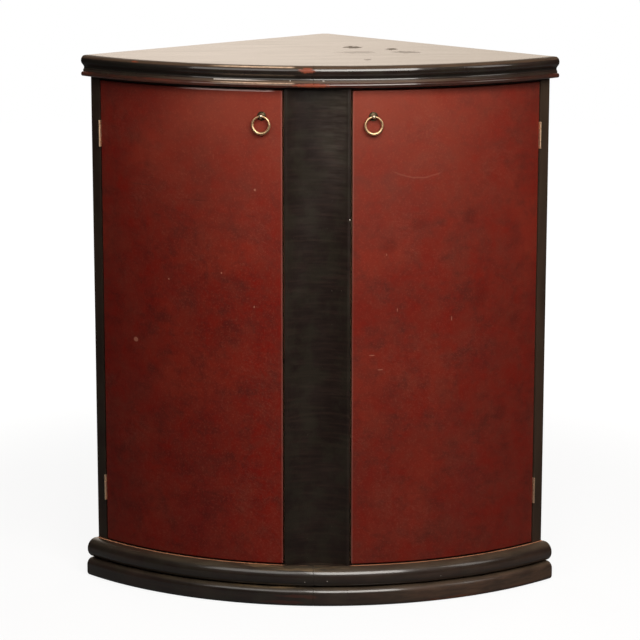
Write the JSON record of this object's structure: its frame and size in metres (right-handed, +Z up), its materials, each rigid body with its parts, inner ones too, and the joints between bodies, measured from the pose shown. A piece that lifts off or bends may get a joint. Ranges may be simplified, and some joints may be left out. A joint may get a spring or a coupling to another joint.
{
  "type": "corner cupboard",
  "caption": "Quarter-round corner cupboard with curved hide-faced doors, a fixed coved centre stile, ring pulls, butt hinges, inner shelves, and moulded base and cornice.",
  "frame": {"origin": "Centre of the overall box in plan, at the level of the underside of the base", "axes": "+Z up; the curved front faces -Y; the room's corner is at +Y; the two straight walls run at 45 degrees to X and Y"},
  "size_m": [0.816, 0.572, 0.915],
  "materials": {
    "black_lacquer": "black-brown lacquer with worn edges",
    "red_hide": "dark red hide, waxed and mottled",
    "raw_wood": "plain oiled wood",
    "aged_brass": "aged brass",
    "dark_brass": "darkened brass",
    "zinc_steel": "zinc plated",
    "brown_plastic": "matt brown"
  },
  "bodies": {
    "carcass": {"top_board": "black_lacquer", "bottom_board": "black_lacquer", "header_rail": "black_lacquer", "rear_post": "raw_wood", "side_post_left": "black_lacquer", "side_post_right": "black_lacquer", "back_panel_left": "raw_wood", "back_panel_right": "raw_wood", "floor_rail_left": "raw_wood", "floor_rail_right": "raw_wood", "lower_shelf_rail_left": "raw_wood", "lower_shelf_rail_right": "raw_wood", "upper_shelf_rail_left": "raw_wood", "upper_shelf_rail_right": "raw_wood", "top_rail_left": "raw_wood", "top_rail_right": "raw_wood", "lower_shelf": "raw_wood", "upper_shelf": "raw_wood", "centre_stile": "black_lacquer", "stile_backboard": "raw_wood", "plinth_rail_front": "black_lacquer", "plinth_rail_left": "raw_wood", "plinth_rail_right": "raw_wood", "base_torus_left": "black_lacquer", "base_torus_right": "black_lacquer", "base_foot_moulding_left": "black_lacquer", "base_foot_moulding_right": "black_lacquer", "cornice_left": "black_lacquer", "cornice_right": "black_lacquer", "upper_hinge_left_frame_leaf": "aged_brass", "upper_hinge_left_pin": "aged_brass", "lower_hinge_left_frame_leaf": "aged_brass", "lower_hinge_left_pin": "aged_brass", "upper_hinge_right_frame_leaf": "aged_brass", "upper_hinge_right_pin": "aged_brass", "lower_hinge_right_frame_leaf": "aged_brass", "lower_hinge_right_pin": "aged_brass", "catch_case_left": "brown_plastic", "catch_case_right": "brown_plastic"},
    "left_door": {"door_facing_left": "red_hide", "door_core_left": "raw_wood", "upper_hinge_left_door_leaf": "aged_brass", "lower_hinge_left_door_leaf": "aged_brass", "pull_left_rosette": "dark_brass", "pull_left_post": "aged_brass", "pull_left_nut": "aged_brass", "catch_strike_left": "zinc_steel"},
    "right_door": {"door_facing_right": "red_hide", "door_core_right": "raw_wood", "upper_hinge_right_door_leaf": "aged_brass", "lower_hinge_right_door_leaf": "aged_brass", "pull_right_rosette": "dark_brass", "pull_right_post": "aged_brass", "pull_right_nut": "aged_brass", "catch_strike_right": "zinc_steel"},
    "left_ring": {"pull_left_ring": "aged_brass"},
    "right_ring": {"pull_right_ring": "aged_brass"}
  },
  "joints": [
    {"name": "left_door_hinge", "type": "hinge", "parent": "carcass", "child": "left_door", "pos_m": [-0.37366, -0.11801, 0.4695], "axis": [0, 0, -1], "range_deg": [0, 105]},
    {"name": "right_door_hinge", "type": "hinge", "parent": "carcass", "child": "right_door", "pos_m": [0.37366, -0.11801, 0.4695], "axis": [0, 0, 1], "range_deg": [0, 105]},
    {"name": "left_ring_swing", "type": "hinge", "parent": "left_door", "child": "left_ring", "pos_m": [-0.09274, -0.26025, 0.831], "axis": [-0.9861, 0.1659, 0], "range_deg": [-7, 175]},
    {"name": "right_ring_swing", "type": "hinge", "parent": "right_door", "child": "right_ring", "pos_m": [0.09274, -0.26025, 0.831], "axis": [-0.9861, -0.1659, 0], "range_deg": [-7, 175]}
  ]
}
